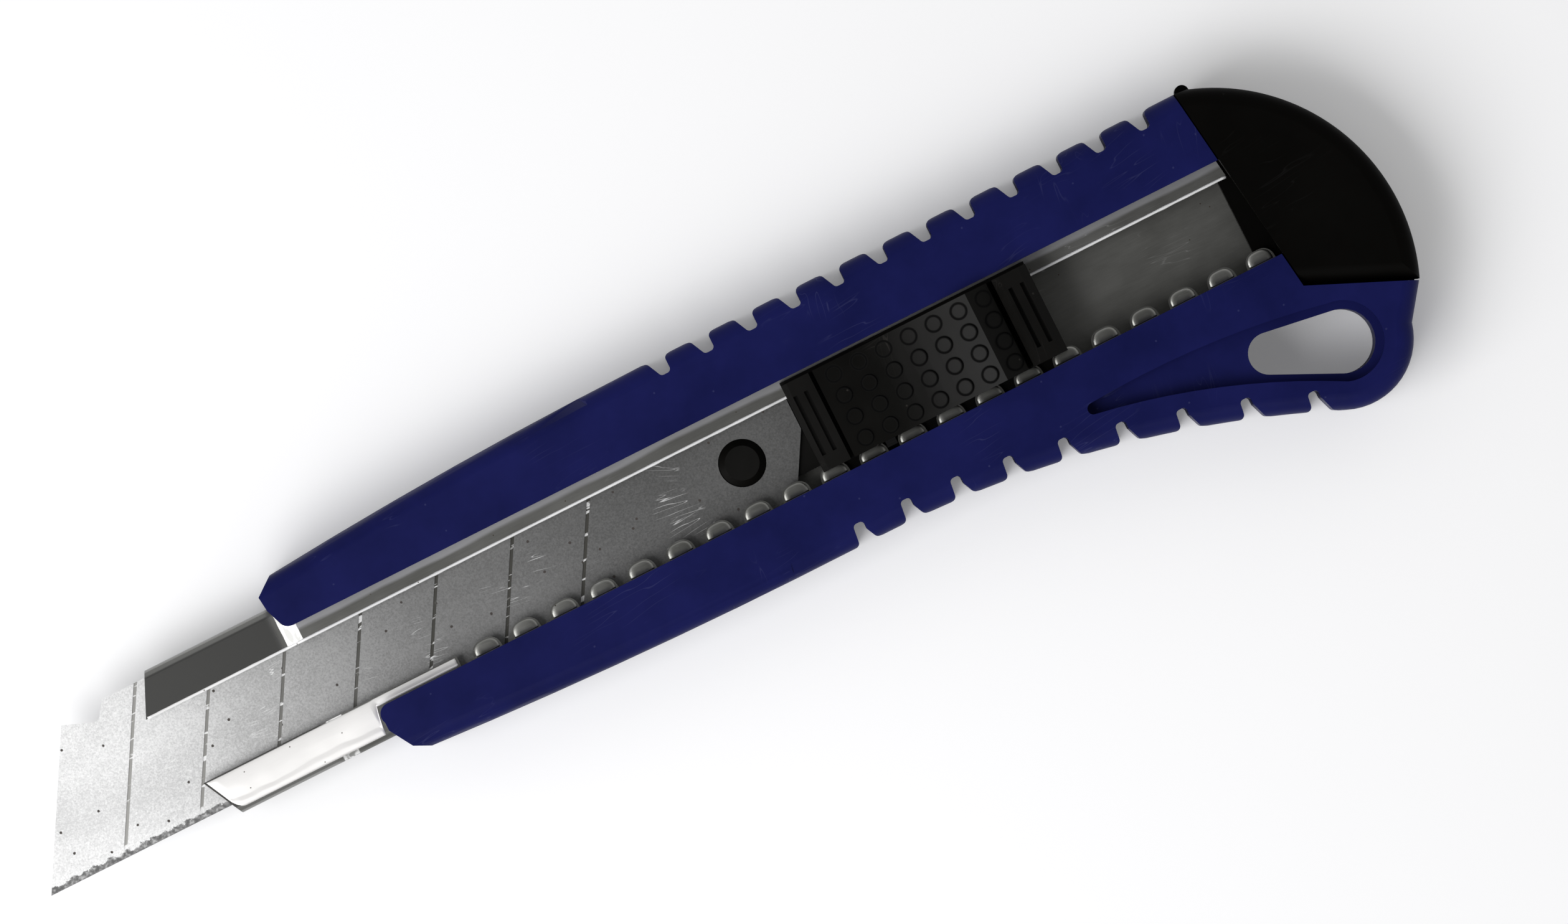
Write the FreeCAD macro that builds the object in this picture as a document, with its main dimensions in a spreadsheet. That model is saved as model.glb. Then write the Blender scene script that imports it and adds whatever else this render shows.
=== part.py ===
import FreeCAD
import Part
import Sketcher
import math
import os

# Snap-off craft knife lying on its back.
# X runs from the blade to the end cap, Y towards the back of the blade, Z up to the thumb button.
# The origin is in the middle of the flat back, below the middle of the steel channel.

SIZES = {
    # Snap blade
    "blade_width": 18.0,
    "blade_thick": 0.5,
    "blade_slant": 60.0,
    "segment_length": 10.0,
    "score_count": 7,
    "score_width": 0.45,
    "score_depth": 0.12,
    "tip_length": 9.5,
    "last_score_from_stud": 26.0,
    "tail_from_stud": 8.0,
    "tail_upright": 8.5,
    "scoop_back": 5.3,
    "scoop_deep": 2.2,
    "scoop_round": 0.8,
    "scoop_foot": 0.72,
    "nose_chip": 0.6,
    "bevel_width": 1.3,
    "edge_land": 0.1,
    "blade_offset": 0.3,
    # Steel channel
    "edge_play": 0.45,
    "channel_height": 4.6,
    "sheet_thick": 0.6,
    "bend_round": 1.0,
    "upper_lip": 5.25,
    "lower_lip": 5.15,
    "lobe_reach": 0.4,
    "lobe_half": 1.65,
    "lobe_round": 1.4,
    "lobe_base": 1.95,
    "lobe_deep": 2.4,
    "lobe_pitch": 5.085,
    "lobe_count": 21,
    "first_lobe": -40.9,
    "strip_end": -44.5,
    "nose_front": -80.5,
    "nose_upper_setback": 2.4,
    "nose_lower_setback": 2.7,
    "nose_heel_setback": 5.3,
    "channel_rear": 62.2,
    "joggle_at": -61.7,
    "joggle_run": 2.0,
    "joggle_drop": 0.8,
    # Handle
    "handle_thick": 12.0,
    "back_plate": 3.6,
    "upper_rail_over": 3.05,
    "lower_rail_over": 3.85,
    "edge_round": 2.0,
    "back_round": 1.2,
    "rail_end_round": 1.3,
    "upper_tip": -62.1,
    "upper_tip_wall": 1.6,
    "upper_tip_lean": 0.2,
    "upper_shoulder": -59.8,
    "upper_front_wall": 3.4,
    "upper_bow": 700.0,
    "grip_start": -10.0,
    "grip_wall": 5.75,
    "upper_rear_wall": 6.15,
    "lower_tip": -55.4,
    "lower_tip_inside": 1.9,
    "lower_tip_flat": 1.0,
    "lower_tip_slant": 1.7,
    "lower_tip_wall": 1.95,
    "lower_shoulder": -51.7,
    "lower_front_wall": 2.95,
    "belly_start": 6.0,
    "belly_start_wall": 4.6,
    "belly_end": 61.9,
    "belly_end_wall": 15.95,
    "belly_round": 135.0,
    "tail_round": 8.4,
    "tail_side": 8.2,
    "tail_side_drop": 1.7,
    "tail_end": 11.2,
    "tail_rise": 2.4,
    # Thumb notches
    "upper_notch_at": -7.5,
    "upper_notch_pitch": 5.74,
    "upper_notch_count": 12,
    "upper_notch_floor": 3.65,
    "lower_notch_at": 4.67,
    "lower_notch_pitch": 6.1,
    "lower_notch_growth": 0.09,
    "lower_notch_count": 9,
    "lower_notch_deep": 2.6,
    "notch_floor": 1.3,
    "notch_round": 0.5,
    "upper_notch_slope": 0.95,
    "lower_notch_slope": 0.65,
    "lower_notch_lean": 0.3,
    "lower_notch_upright": 1.1,
    "land_round": 0.6,
    "land_run": 1.6,
    "land_skim": 0.12,
    # Lanyard hole
    "lanyard_x": 65.2,
    "lanyard_wall": 8.55,
    "lanyard_round": 3.8,
    "lanyard_run": 8.4,
    "lanyard_rise": 2.6,
    "lanyard_inner_round": 2.5,
    "recess_ledge": 1.0,
    "recess_deep": 2.0,
    "recess_run": 29.8,
    "recess_rise": 6.1,
    "recess_tip_round": 0.7,
    "recess_upper_bow": 110.0,
    "recess_lower_bow": 90.0,
    # End cap
    "cap_top": 60.3,
    "cap_lean": 3.6,
    "cap_heel_wall": 0.65,
    "cap_brow": 1.6,
    "cap_curve": 24.2,
    "cap_gap": 0.15,
    "tongue_front": 60.5,
    "catch_round": 0.85,
    "catch_sink": 0.15,
    "tongue_root": 1.5,
    # Carriage
    "carriage_at": -4.3,
    "running_gap": 0.15,
    "side_gap": 0.25,
    "stud_width": 5.5,
    "stud_gap": 0.1,
    "stud_flat": 4.1,
    "stud_stand": 0.7,
    "arm_half": 4.4,
    "arm_round": 4.0,
    "slab_front": 10.7,
    "slab_rear": 38.3,
    "well_margin_front": 3.0,
    "well_margin_rear": 5.0,
    "well_play": 0.6,
    "tooth_notch": 10.5,
    "tooth_slot_wall": 1.5,
    "tooth_slot_spare": 0.4,
    # Thumb slide
    "frame_front": 8.1,
    "frame_rear": 40.1,
    "frame_over_upper": 1.5,
    "frame_over_lower": 0.1,
    "flange_over": 0.4,
    "frame_plate": 0.9,
    "front_block": 3.56,
    "rear_block": 4.4,
    "groove_width": 0.5,
    "groove_margin": 1.8,
    "front_groove_at": 0.7,
    "front_groove_step": 1.4,
    "front_groove_deep": 0.5,
    "rear_groove_at": 1.3,
    "rear_groove_step": 1.5,
    "rear_groove_deep": 0.9,
    "front_height": 12.3,
    "crest_height": 14.7,
    "crest_at": 32.2,
    "front_bevel": 0.7,
    "rear_bevel": 1.0,
    "rear_bevel_drop": 0.25,
    "rear_step": 1.1,
    "rear_step_run": 0.9,
    "dish_round": 32.0,
    "button_gap": 0.5,
    "button_travel": 1.0,
    "pad_rear": 0.65,
    "pad_fall": 1.3,
    "hinge_round": 1.1,
    "barrel_round": 1.05,
    "pip_round": 0.92,
    "pip_stand": 0.25,
    "first_pip": 2.15,
    "pip_pitch_x": 3.27,
    "pip_pitch_y": 2.77,
    "pip_columns": 7,
    "pip_rows": 4,
    "post_width": 2.4,
    "tooth_width": 1.3,
    "tooth_reach": 0.9,
    "spring_thick": 0.4,
    "spring_width": 3.2,
    "spring_foot": 6.0,
    "leaf_overhang": 0.5,
    "touch_gap": 0.05,
}


class Size:
    """A number together with the spreadsheet formula that it comes from."""

    def __init__(self, value, formula):
        self.value = value
        self.formula = formula

    def __add__(self, other):
        return joined(self, "+", other, self.value + number(other))

    def __radd__(self, other):
        return joined(other, "+", self, number(other) + self.value)

    def __sub__(self, other):
        return joined(self, "-", other, self.value - number(other))

    def __rsub__(self, other):
        return joined(other, "-", self, number(other) - self.value)

    def __mul__(self, other):
        return joined(self, "*", other, self.value * number(other))

    def __rmul__(self, other):
        return joined(other, "*", self, number(other) * self.value)

    def __truediv__(self, other):
        return joined(self, "/", other, self.value / number(other))

    def __rtruediv__(self, other):
        return joined(other, "/", self, number(other) / self.value)

    def __neg__(self):
        return 0 - self


def number(item):
    return item.value if isinstance(item, Size) else item


def formula(item):
    return item.formula if isinstance(item, Size) else f"{item:.6f}"


def joined(left, sign, right, value):
    return Size(value, f"({formula(left)} {sign} {formula(right)})")


def root(item):
    return Size(math.sqrt(item.value), f"sqrt({item.formula})")


def tangent(item):
    return Size(math.tan(math.radians(item.value)), f"tan({item.formula})")


class Sheet:
    """The spreadsheet of driving sizes, read by name as Size values."""

    def __init__(self, doc, sizes):
        self.cells = doc.addObject("Spreadsheet::Sheet", "Sizes")
        for row, (name, value) in enumerate(sizes.items(), start=1):
            self.cells.set(f"A{row}", name)
            self.cells.set(f"B{row}", str(value))
            self.cells.setAlias(f"B{row}", name)
        doc.recompute()

    def __getattr__(self, name):
        return Size(float(self.cells.get(name)), f"Sizes.{name}")


class Corner:
    """A corner of an outline.

    It may be rounded, or the edge that leaves it may bow with a radius. Where it is smooth, the
    bowed edge that leaves it carries on from the edge before, and the radius is only a first guess.
    A wide bow goes more than half way round its circle.
    """

    def __init__(self, x, y, rounded=None, bow=None, smooth=False, wide=False):
        self.x = x
        self.y = y
        self.rounded = rounded
        self.bow = bow
        self.smooth = smooth
        self.wide = wide

    def place(self):
        return FreeCAD.Vector(number(self.x), number(self.y), 0)


def bind(item, path, size):
    if isinstance(size, Size):
        item.setExpression(path, size.formula)


def fix(sketch, kind, places, size):
    """Add a dimension and bind it to its formula."""
    index = sketch.addConstraint(Sketcher.Constraint(kind, *places, number(size)))
    bind(sketch, f"Constraints[{index}]", size)


def arc_between(start, end, radius, wide=False):
    """Arc from start to end. A positive radius turns left, a negative one turns right."""
    chord = end - start
    middle = (start + end) * 0.5
    reach = math.sqrt(max(radius * radius - chord.Length * chord.Length / 4, 0))
    side = FreeCAD.Vector(-chord.y, chord.x, 0).normalize()
    centre = middle + side * (reach if (radius > 0) != wide else -reach)
    first, last = (start, end) if radius > 0 else (end, start)
    angles = [math.atan2(p.y - centre.y, p.x - centre.x) for p in (first, last)]
    if angles[1] < angles[0]:
        angles[1] += 2 * math.pi
    circle = Part.Circle(centre, FreeCAD.Vector(0, 0, 1), abs(radius))
    return Part.ArcOfCircle(circle, angles[0], angles[1])


def rounding_points(before, corner, after):
    """Where a corner's rounding leaves its two straight edges, and its signed radius."""
    here = corner.place()
    back = (before.place() - here).normalize()
    ahead = (after.place() - here).normalize()
    half_turn = math.acos(max(-1, min(1, back.dot(ahead)))) / 2
    radius = number(corner.rounded)
    run = radius / math.tan(half_turn)
    turn = back.x * ahead.y - back.y * ahead.x
    return here + back * run, here + ahead * run, (-radius if turn > 0 else radius)


def draw(sketch, corners):
    """Draw a closed outline of lines and arcs through corners given in order."""
    count = len(corners)
    enter = []
    leave = []
    signed = []
    for i, corner in enumerate(corners):
        if corner.rounded is None:
            enter.append(corner.place())
            leave.append(corner.place())
            signed.append(None)
        else:
            start, end, radius = rounding_points(corners[i - 1], corner, corners[(i + 1) % count])
            enter.append(start)
            leave.append(end)
            signed.append(radius)
    edges = []
    roundings = {}
    for i, corner in enumerate(corners):
        after = (i + 1) % count
        if corner.bow is None:
            line = Part.LineSegment(leave[i], enter[after])
            edges.append((sketch.addGeometry(line, False), 1, 2))
        else:
            bow = number(corner.bow)
            arc = sketch.addGeometry(arc_between(leave[i], enter[after], bow, corner.wide), False)
            edges.append((arc, 1, 2) if bow > 0 else (arc, 2, 1))
            if not corner.smooth:
                fix(sketch, "Radius", (arc,), corner.bow if bow > 0 else -corner.bow)
        if corner.rounded is not None:
            arc = sketch.addGeometry(arc_between(enter[i], leave[i], signed[i]), False)
            roundings[i] = (arc, 1, 2) if signed[i] > 0 else (arc, 2, 1)
    for i, corner in enumerate(corners):
        arriving = edges[i - 1]
        leaving = edges[i]
        if corner.rounded is None:
            join = (arriving[0], arriving[2], leaving[0], leaving[1])
            kind = "Tangent" if corner.smooth else "Coincident"
            sketch.addConstraint(Sketcher.Constraint(kind, *join))
            anchor = (leaving[0], leaving[1])
        else:
            arc, start, end = roundings[i]
            sketch.addConstraint(Sketcher.Constraint("Tangent", arriving[0], arriving[2], arc, start))
            sketch.addConstraint(Sketcher.Constraint("Tangent", arc, end, leaving[0], leaving[1]))
            fix(sketch, "Radius", (arc,), corner.rounded)
            point = sketch.addGeometry(Part.Point(corner.place()), True)
            sketch.addConstraint(Sketcher.Constraint("PointOnObject", point, 1, arriving[0]))
            sketch.addConstraint(Sketcher.Constraint("PointOnObject", point, 1, leaving[0]))
            anchor = (point, 1)
        fix(sketch, "DistanceX", anchor, corner.x)
        fix(sketch, "DistanceY", anchor, corner.y)


def circle(sketch, x, y, radius):
    place = FreeCAD.Vector(number(x), number(y), 0)
    ring = Part.Circle(place, FreeCAD.Vector(0, 0, 1), number(radius))
    index = sketch.addGeometry(ring, False)
    fix(sketch, "DistanceX", (index, 3), x)
    fix(sketch, "DistanceY", (index, 3), y)
    fix(sketch, "Radius", (index,), radius)


def rectangle(x_from, y_from, x_to, y_to):
    return [Corner(x_from, y_from), Corner(x_to, y_from), Corner(x_to, y_to), Corner(x_from, y_to)]


def new_body(doc, name):
    body = doc.addObject("PartDesign::Body", name)
    body.Label = name
    return body


def new_sketch(body, name, plane="XY_Plane", at=0.0):
    sketch = body.newObject("Sketcher::SketchObject", name)
    base = [item for item in body.Origin.OriginFeatures if item.Role == plane][0]
    sketch.AttachmentSupport = [(base, "")]
    sketch.MapMode = "FlatFace"
    sketch.AttachmentOffset = FreeCAD.Placement(FreeCAD.Vector(0, 0, number(at)), FreeCAD.Rotation())
    bind(sketch, "AttachmentOffset.Base.z", at)
    return sketch


def outline_sketch(body, name, corners, plane="XY_Plane", at=0.0):
    sketch = new_sketch(body, name, plane, at)
    draw(sketch, corners)
    return sketch


def add_pad(body, sketch, length, both_ways=False):
    pad = body.newObject("PartDesign::Pad", sketch.Name + "_pad")
    pad.Profile = sketch
    pad.Length = number(length)
    pad.SideType = "Symmetric" if both_ways else "One side"
    bind(pad, "Length", length)
    body.Document.recompute()
    return pad


def cut_pocket(body, sketch, depth, both_ways=False):
    """Cut a pocket down from its sketch, and make sure that it took material away."""
    before = body.Shape.Volume
    pocket = body.newObject("PartDesign::Pocket", sketch.Name + "_pocket")
    pocket.Profile = sketch
    pocket.Length = number(depth)
    pocket.SideType = "Symmetric" if both_ways else "One side"
    bind(pocket, "Length", depth)
    body.Document.recompute()
    if body.Shape.Volume >= before:
        raise RuntimeError(f"{pocket.Name} cuts nothing")
    return pocket


def repeat(body, feature, axis, pitch, count):
    """Repeat a feature along one axis of its sketch."""
    row = body.newObject("PartDesign::LinearPattern", feature.Name + "_row")
    row.Originals = [feature]
    row.Direction = (feature.Profile[0], [axis])
    row.Mode = "Spacing"
    row.Offset = number(pitch)
    row.Occurrences = int(number(count))
    bind(row, "Offset", pitch)
    bind(row, "Occurrences", count)
    body.Tip = row
    body.Document.recompute()
    return row


def edges_where(shape, test):
    return [f"Edge{i}" for i, edge in enumerate(shape.Edges, start=1) if test(edge)]


def round_edges(body, name, radius, test):
    base = body.Tip
    rounding = body.newObject("PartDesign::Fillet", name)
    rounding.Base = (base, edges_where(base.Shape, test))
    rounding.Radius = number(radius)
    bind(rounding, "Radius", radius)
    body.Document.recompute()
    return rounding


def flat_edge(edge, height):
    box = edge.BoundBox
    return abs(box.ZMin - height) < 0.01 and abs(box.ZMax - height) < 0.01


def build_blade(doc, d):
    """Snap blade, drawn about its stud hole, with the cutting edge on the -Y side."""
    body = new_body(doc, "snap_blade")
    half = d.blade_width / 2
    run = 1 / tangent(d.blade_slant)
    last_score = -d.last_score_from_stud
    tip = last_score - (d.score_count - 1) * d.segment_length - d.tip_length
    nose = tip + d.blade_width * run
    tail_heel = d.tail_from_stud - d.tail_upright * run
    scoop = d.scoop_back
    outline = [
        Corner(tip, -half),
        Corner(tail_heel - (d.blade_width - 2 * d.tail_upright) * run, -half),
        Corner(d.tail_from_stud, half - d.tail_upright),
        Corner(d.tail_from_stud, half),
        Corner(nose + scoop, half),
        Corner(nose + scoop * d.scoop_foot, half - d.scoop_deep, rounded=d.scoop_round),
        Corner(nose - d.nose_chip * run, half - d.nose_chip),
    ]
    add_pad(body, outline_sketch(body, "blade_outline", outline), d.blade_thick)
    hole = new_sketch(body, "stud_hole", at=d.blade_thick)
    circle(hole, 0.0, 0.0, d.stud_width / 2 + d.stud_gap)
    cut_pocket(body, hole, d.blade_thick)
    grind = (d.blade_thick - d.edge_land) / 2
    reach = d.bevel_width
    low = [Corner(-half - 1, -1.0), Corner(-half + reach, 0.0), Corner(-half - 1, grind + grind / reach)]
    high_at = d.blade_thick
    high = [
        Corner(-half - 1, high_at + 1),
        Corner(-half - 1, high_at - grind - grind / reach),
        Corner(-half + reach, high_at),
    ]
    whole = 2 * (d.tail_from_stud - tip)
    for name, corners in (("bevel_below", low), ("bevel_above", high)):
        cut_pocket(body, outline_sketch(body, name, corners, "YZ_Plane"), whole, both_ways=True)
    start = last_score - (d.score_count - 1) * d.segment_length
    line = [
        Corner(start, -half),
        Corner(start + d.score_width, -half),
        Corner(start + d.score_width + d.blade_width * run, half),
        Corner(start + d.blade_width * run, half),
    ]
    score = cut_pocket(body, outline_sketch(body, "score", line, at=d.blade_thick), d.score_depth)
    repeat(body, score, "H_Axis", d.segment_length, d.score_count)
    place(body, d.carriage_at, d.blade_offset, blade_level(d))
    return body


def place(body, x, y, z):
    body.Placement = FreeCAD.Placement(FreeCAD.Vector(number(x), number(y), number(z)), FreeCAD.Rotation())
    bind(body, "Placement.Base.x", x)
    bind(body, "Placement.Base.y", y)
    bind(body, "Placement.Base.z", z)


def channel_half(d):
    """Half the channel's outer width: the blade, its play and the sheet."""
    return d.blade_width / 2 + d.edge_play + d.sheet_thick


def slot_upper(d):
    return channel_half(d) - d.upper_lip


def slot_lower(d):
    return channel_half(d) - d.lower_lip


def channel_floor(d):
    return d.back_plate + d.sheet_thick


def lip_under(d):
    return d.back_plate + d.channel_height - d.sheet_thick


def lip_top(d):
    return d.back_plate + d.channel_height


def blade_level(d):
    """Underside of the blade: it runs just below the stepped-down front lip."""
    return lip_under(d) - d.joggle_drop - 2 * d.running_gap - d.blade_thick


def channel_profile(d, drop):
    """Section of the folded channel, with its upper lip lowered by drop."""
    half = channel_half(d)
    inner = half - d.sheet_thick
    base = d.back_plate
    top = lip_top(d)
    bend = d.bend_round
    fold = bend - d.sheet_thick
    return [
        Corner(-half, base, rounded=bend),
        Corner(half, base, rounded=bend),
        Corner(half, top - drop, rounded=bend),
        Corner(slot_upper(d), top - drop),
        Corner(slot_upper(d), top - drop - d.sheet_thick),
        Corner(inner, top - drop - d.sheet_thick, rounded=fold),
        Corner(inner, base + d.sheet_thick, rounded=fold),
        Corner(-inner, base + d.sheet_thick, rounded=fold),
        Corner(-inner, lip_under(d), rounded=fold),
        Corner(-slot_lower(d), lip_under(d)),
        Corner(-slot_lower(d), top),
        Corner(-half, top, rounded=bend),
    ]


def build_channel(doc, d):
    """Folded steel channel: stepped nose, upper lip, and lower lip cut into ratchet lobes."""
    body = new_body(doc, "blade_sleeve")
    step_end = d.joggle_at + d.joggle_run
    rear = outline_sketch(body, "rear_section", channel_profile(d, 0.0), "YZ_Plane", step_end)
    add_pad(body, rear, d.channel_rear - step_end)
    front = outline_sketch(body, "front_section", channel_profile(d, d.joggle_drop), "YZ_Plane", d.nose_front)
    add_pad(body, front, d.joggle_at - d.nose_front)
    first = outline_sketch(body, "step_low", channel_profile(d, d.joggle_drop), "YZ_Plane", d.joggle_at)
    second = outline_sketch(body, "step_high", channel_profile(d, 0.0), "YZ_Plane", step_end)
    step = body.newObject("PartDesign::AdditiveLoft", "step")
    step.Profile = first
    step.Sections = [second]
    step.Ruled = True
    doc.recompute()
    half = channel_half(d)
    ahead = d.nose_front - 1
    beyond = half + 1
    nose = [
        Corner(ahead, -beyond),
        Corner(d.nose_front + d.nose_heel_setback, -beyond),
        Corner(d.nose_front + d.nose_heel_setback, -half),
        Corner(d.nose_front + d.nose_lower_setback, -slot_lower(d)),
        Corner(d.nose_front, slot_upper(d)),
        Corner(d.nose_front + d.nose_upper_setback, half),
        Corner(d.nose_front + d.nose_upper_setback, beyond),
        Corner(ahead, beyond),
    ]
    cut_pocket(body, outline_sketch(body, "nose", nose, at=lip_top(d)), d.channel_height)
    window = rectangle(d.strip_end, -slot_lower(d) - d.lobe_deep, d.channel_rear, -slot_lower(d) + 0.1)
    cut_pocket(body, outline_sketch(body, "lobe_window", window, at=lip_top(d)), d.sheet_thick)
    tip = -slot_lower(d) + d.lobe_reach
    foot = -slot_lower(d) - d.lobe_deep
    lobe = [
        Corner(d.first_lobe - d.lobe_base, foot),
        Corner(d.first_lobe + d.lobe_base, foot),
        Corner(d.first_lobe + d.lobe_half, tip, rounded=d.lobe_round),
        Corner(d.first_lobe - d.lobe_half, tip, rounded=d.lobe_round),
    ]
    sketch = outline_sketch(body, "lobe", lobe, at=lip_under(d))
    repeat(body, add_pad(body, sketch, d.sheet_thick), "H_Axis", d.lobe_pitch, d.lobe_count)
    seam_top = half + d.upper_rear_wall
    end = [
        Corner(d.cap_top - d.cap_gap, seam_top),
        Corner(d.cap_top + d.cap_lean - d.cap_gap, -half - d.cap_heel_wall),
        Corner(d.channel_rear + 5, -half - d.cap_heel_wall),
        Corner(d.channel_rear + 5, seam_top),
    ]
    cut_pocket(body, outline_sketch(body, "rear_end", end, at=lip_top(d) + 1), d.channel_height + 2)
    return body


def lanyard_y(d):
    return -channel_half(d) - d.lanyard_wall


def handle_outline(d):
    """Plan of the handle, from the lower front tip round to the upper front tip."""
    half = channel_half(d)
    tail_x = d.lanyard_x
    tail_y = lanyard_y(d)
    drop = -half - d.belly_end_wall
    tip_inside = -half + d.lower_tip_inside
    seam_top = half + d.upper_rear_wall
    heel = -half - d.cap_heel_wall
    return [
        Corner(d.lower_tip, tip_inside),
        Corner(d.lower_tip, tip_inside - d.lower_tip_flat),
        Corner(d.lower_tip + d.lower_tip_slant, -half - d.lower_tip_wall),
        Corner(d.lower_shoulder, -half - d.lower_front_wall, bow=d.upper_bow),
        Corner(d.belly_start, -half - d.belly_start_wall, bow=-d.belly_round, smooth=True),
        Corner(d.belly_end, drop, bow=d.tail_round, smooth=True),
        Corner(tail_x + d.tail_side, tail_y - d.tail_side_drop),
        Corner(tail_x + d.tail_end, tail_y + d.tail_rise),
        Corner(d.cap_top + d.cap_lean, heel),
        Corner(d.cap_top, seam_top),
        Corner(d.grip_start, half + d.grip_wall, bow=d.upper_bow, smooth=True),
        Corner(d.upper_shoulder, half + d.upper_front_wall),
        Corner(d.upper_tip, half + d.upper_tip_wall),
        Corner(d.upper_tip + d.upper_tip_lean, half - d.upper_tip_lean),
    ]


def outer_edge(d, height):
    """Test for the handle's long outer edges at one height, leaving out the cap seam."""
    half = number(channel_half(d))
    seam = number(d.cap_top)
    shortest = 2 * number(d.edge_round)

    def test(edge):
        middle = edge.valueAt((edge.FirstParameter + edge.LastParameter) / 2)
        outside = abs(middle.y) > half + 1.0
        beside_cap = middle.x > seam + 1.0 and middle.y > number(lanyard_y(d)) + 2.0
        return flat_edge(edge, number(height)) and edge.Length > shortest and outside and not beside_cap

    return test


def rail_end(d):
    """Test for the upright edges at the inner front corners of the two rails."""
    half = number(channel_half(d))
    sides = (half - number(d.upper_rail_over), -half + number(d.lower_rail_over))

    def test(edge):
        box = edge.BoundBox
        upright = box.XLength < 0.01 and box.YLength < 0.01
        at_side = any(abs(box.YMin - side) < 0.01 for side in sides)
        return upright and at_side and box.XMax < number(d.lower_shoulder)

    return test


def build_handle(doc, d):
    """Moulded handle: two rails over a closed back, thumb notches and a lanyard hole."""
    body = new_body(doc, "handle_shell")
    half = channel_half(d)
    top = d.handle_thick
    add_pad(body, outline_sketch(body, "plan", handle_outline(d)), top)
    round_edges(body, "top_rounding", d.edge_round, outer_edge(d, top))
    round_edges(body, "back_rounding", d.back_round, outer_edge(d, 0.0))
    upper_rail = half - d.upper_rail_over
    lower_rail = -half + d.lower_rail_over
    seat = [
        Corner(-half, d.back_plate),
        Corner(half, d.back_plate),
        Corner(half, lip_top(d)),
        Corner(upper_rail, lip_top(d)),
        Corner(upper_rail, top + 1),
        Corner(lower_rail, top + 1),
        Corner(lower_rail, lip_top(d)),
        Corner(-half, lip_top(d)),
    ]
    whole = 2 * (d.lanyard_x + d.tail_end + 1)
    cut_pocket(body, outline_sketch(body, "channel_seat", seat, "YZ_Plane"), whole, both_ways=True)
    round_edges(body, "rail_ends", d.rail_end_round, rail_end(d))
    add_upper_notches(body, d)
    add_lower_notches(body, d)
    add_lanyard_hole(body, d)
    return body


def add_upper_notches(body, d):
    """Row of thumb notches between rounded lands, along the straight part of the back."""
    half = channel_half(d)
    floor = half + d.upper_notch_floor
    over = half + d.upper_rear_wall + 1
    x = d.upper_notch_at
    wide = d.notch_floor / 2
    run = d.cap_top - d.grip_start
    rise = d.upper_rear_wall - d.grip_wall
    land = half + d.grip_wall + (x - d.grip_start) * rise / run
    left = x - wide - d.upper_notch_slope
    right = x + wide
    notch = [
        Corner(x - wide, floor, rounded=d.notch_round),
        Corner(right, floor, rounded=d.notch_round),
        Corner(right, land - d.land_skim, rounded=d.land_round),
        Corner(right + d.land_run, land + d.land_skim),
        Corner(right + d.land_run, over),
        Corner(left - d.land_run, over),
        Corner(left - d.land_run, land + d.land_skim),
        Corner(left, land - d.land_skim, rounded=d.land_round),
    ]
    sketch = outline_sketch(body, "upper_notch", notch, at=d.handle_thick + 1)
    start = FreeCAD.Vector(0, 0, 0)
    end = FreeCAD.Vector(number(run), number(rise), 0)
    along = sketch.addGeometry(Part.LineSegment(start, end), True)
    fix(sketch, "DistanceX", (along, 1, along, 2), run)
    fix(sketch, "DistanceY", (along, 1, along, 2), rise)
    sketch.addConstraint(Sketcher.Constraint("Coincident", along, 1, -1, 1))
    cut = cut_pocket(body, sketch, d.handle_thick + 2)
    repeat(body, cut, "Axis0", d.upper_notch_pitch, d.upper_notch_count)


def belly_height(d, x):
    """Height of the belly curve at x, from its two ends and its radius."""
    run = d.belly_end - d.belly_start
    fall = d.belly_end_wall - d.belly_start_wall
    chord = root(run * run + fall * fall)
    reach = root(d.belly_round * d.belly_round - chord * chord / 4)
    centre_x = d.belly_start + run / 2 - reach * fall / chord
    centre_y = -channel_half(d) - d.belly_start_wall - fall / 2 - reach * run / chord
    return centre_y + root(d.belly_round * d.belly_round - (x - centre_x) * (x - centre_x))


def add_lower_notches(body, d):
    """Thumb notches along the belly, a little further apart towards the rear."""
    wide = d.notch_floor / 2
    for k in range(int(number(d.lower_notch_count))):
        x = d.lower_notch_at + k * d.lower_notch_pitch + k * k * d.lower_notch_growth
        ceiling = belly_height(d, x) + d.lower_notch_deep
        left = x - wide - d.lower_notch_lean
        right = x + wide + d.lower_notch_slope
        far_left = left - d.land_run
        far_right = right + d.land_run
        under = belly_height(d, far_right) - 1
        notch = [
            Corner(far_left, under),
            Corner(far_right, under),
            Corner(far_right, belly_height(d, far_right) - d.land_skim),
            Corner(right, belly_height(d, right) + d.land_skim, rounded=d.land_round),
            Corner(x + wide, ceiling - d.lower_notch_upright),
            Corner(x + wide, ceiling, rounded=d.notch_round),
            Corner(x - wide, ceiling, rounded=d.notch_round),
            Corner(left, belly_height(d, left) + d.land_skim, rounded=d.land_round),
            Corner(far_left, belly_height(d, far_left) - d.land_skim),
        ]
        sketch = outline_sketch(body, f"lower_notch_{k + 1}", notch, at=d.handle_thick + 1)
        cut_pocket(body, sketch, d.handle_thick + 2)


def taper(x, y, wide, run, rise, narrow):
    """Touching points of the two lines that join a wide circle at x, y to a narrow one.

    The narrow circle's centre is run towards -X and rise towards +Y from the wide one's. The
    points are in order: narrow low, wide low, wide high, narrow high.
    """
    reach = root(run * run + rise * rise)
    near = (wide - narrow) / reach
    off = root(1 - near * near)
    ahead_x = -run / reach
    ahead_y = rise / reach
    low = (ahead_x * near - ahead_y * off, ahead_y * near + ahead_x * off)
    high = (ahead_x * near + ahead_y * off, ahead_y * near - ahead_x * off)
    return [
        (x - run + narrow * low[0], y + rise + narrow * low[1]),
        (x + wide * low[0], y + wide * low[1]),
        (x + wide * high[0], y + wide * high[1]),
        (x - run + narrow * high[0], y + rise + narrow * high[1]),
    ]


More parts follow.
